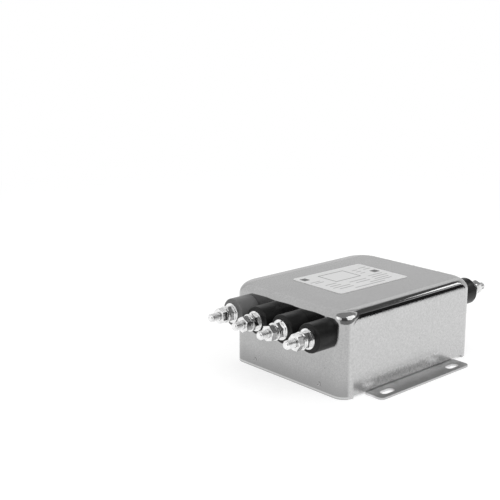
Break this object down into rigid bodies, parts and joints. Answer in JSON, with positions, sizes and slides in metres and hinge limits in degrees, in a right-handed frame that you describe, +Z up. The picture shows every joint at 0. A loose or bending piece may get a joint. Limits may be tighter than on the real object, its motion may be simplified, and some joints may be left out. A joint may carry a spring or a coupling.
{
  "type": "emi line filter",
  "caption": "Power line filter in a drawn steel can, with round insulated stud terminals along both ends and slotted mounting flanges at the sides.",
  "frame": {"origin": "middle of the underside of the base plate", "axes": "+X from the line terminals to the load terminals, +Y towards the neutral terminals, +Z up"},
  "size_m": [0.211, 0.1396, 0.0595],
  "materials": {
    "can_steel": "satin bright tin-plated drawn sheet",
    "plate_steel": "zinc-plated sheet, dull where it was folded",
    "hardware_steel": "bright zinc-plated, slightly worn",
    "black_insulator": "smooth glossy black moulding",
    "grey_insulator": "smooth grey moulding",
    "label_film": "pale matt label film with plain printed shapes",
    "insulating_film": "thin amber-white film",
    "board_laminate": "green lacquered laminate",
    "tinned_copper": "tinned copper",
    "enamelled_copper": "clear enamelled copper wire",
    "lead_sleeve": "black sleeving",
    "ferrite": "dark sintered ring",
    "case_moulding": "blue moulded case",
    "separator_moulding": "natural white moulding",
    "capacitor_box": "yellow box, resin sealed",
    "disc_capacitor": "blue dipped coating",
    "resistor_body": "cement coating with plain bands"
  },
  "bodies": {
    "root": {"base_plate": "plate_steel", "board_screws": "hardware_steel", "board_spacers": "hardware_steel", "choke_base": "separator_moulding", "choke_core": "ferrite", "choke_winding_1": "enamelled_copper", "choke_winding_2": "enamelled_copper", "choke_winding_3": "enamelled_copper", "choke_winding_4": "enamelled_copper", "circuit_board": "board_laminate", "clamp_nuts": "hardware_steel", "core_lid": "case_moulding", "core_tray": "case_moulding", "discharge_resistor_1": "resistor_body", "discharge_resistor_2": "resistor_body", "discharge_resistor_3": "resistor_body", "face_washers": "hardware_steel", "flat_washers": "hardware_steel", "housing_can": "can_steel", "inner_bushings": "black_insulator", "inner_nuts": "hardware_steel", "insulating_sheet": "insulating_film", "line_bushing_1": "black_insulator", "line_bushing_2": "black_insulator", "line_bushing_3": "black_insulator", "line_bushing_neutral": "grey_insulator", "line_leads": "lead_sleeve", "line_stud_1": "hardware_steel", "line_stud_2": "hardware_steel", "line_stud_3": "hardware_steel", "line_stud_neutral": "hardware_steel", "line_x_capacitor_1": "capacitor_box", "line_x_capacitor_2": "capacitor_box", "line_x_capacitor_3": "capacitor_box", "load_bushing_1": "black_insulator", "load_bushing_2": "black_insulator", "load_bushing_3": "black_insulator", "load_bushing_neutral": "grey_insulator", "load_leads": "lead_sleeve", "load_stud_1": "hardware_steel", "load_stud_2": "hardware_steel", "load_stud_3": "hardware_steel", "load_stud_neutral": "hardware_steel", "load_x_capacitor_1": "capacitor_box", "load_x_capacitor_2": "capacitor_box", "load_x_capacitor_3": "capacitor_box", "rating_label": "label_film", "ring_lugs": "tinned_copper", "spring_washers": "hardware_steel", "terminal_nuts": "hardware_steel", "winding_separator": "separator_moulding", "y_capacitor_1": "disc_capacitor", "y_capacitor_2": "disc_capacitor", "y_capacitor_3": "disc_capacitor", "y_capacitor_4": "disc_capacitor"}
  },
  "joints": []
}
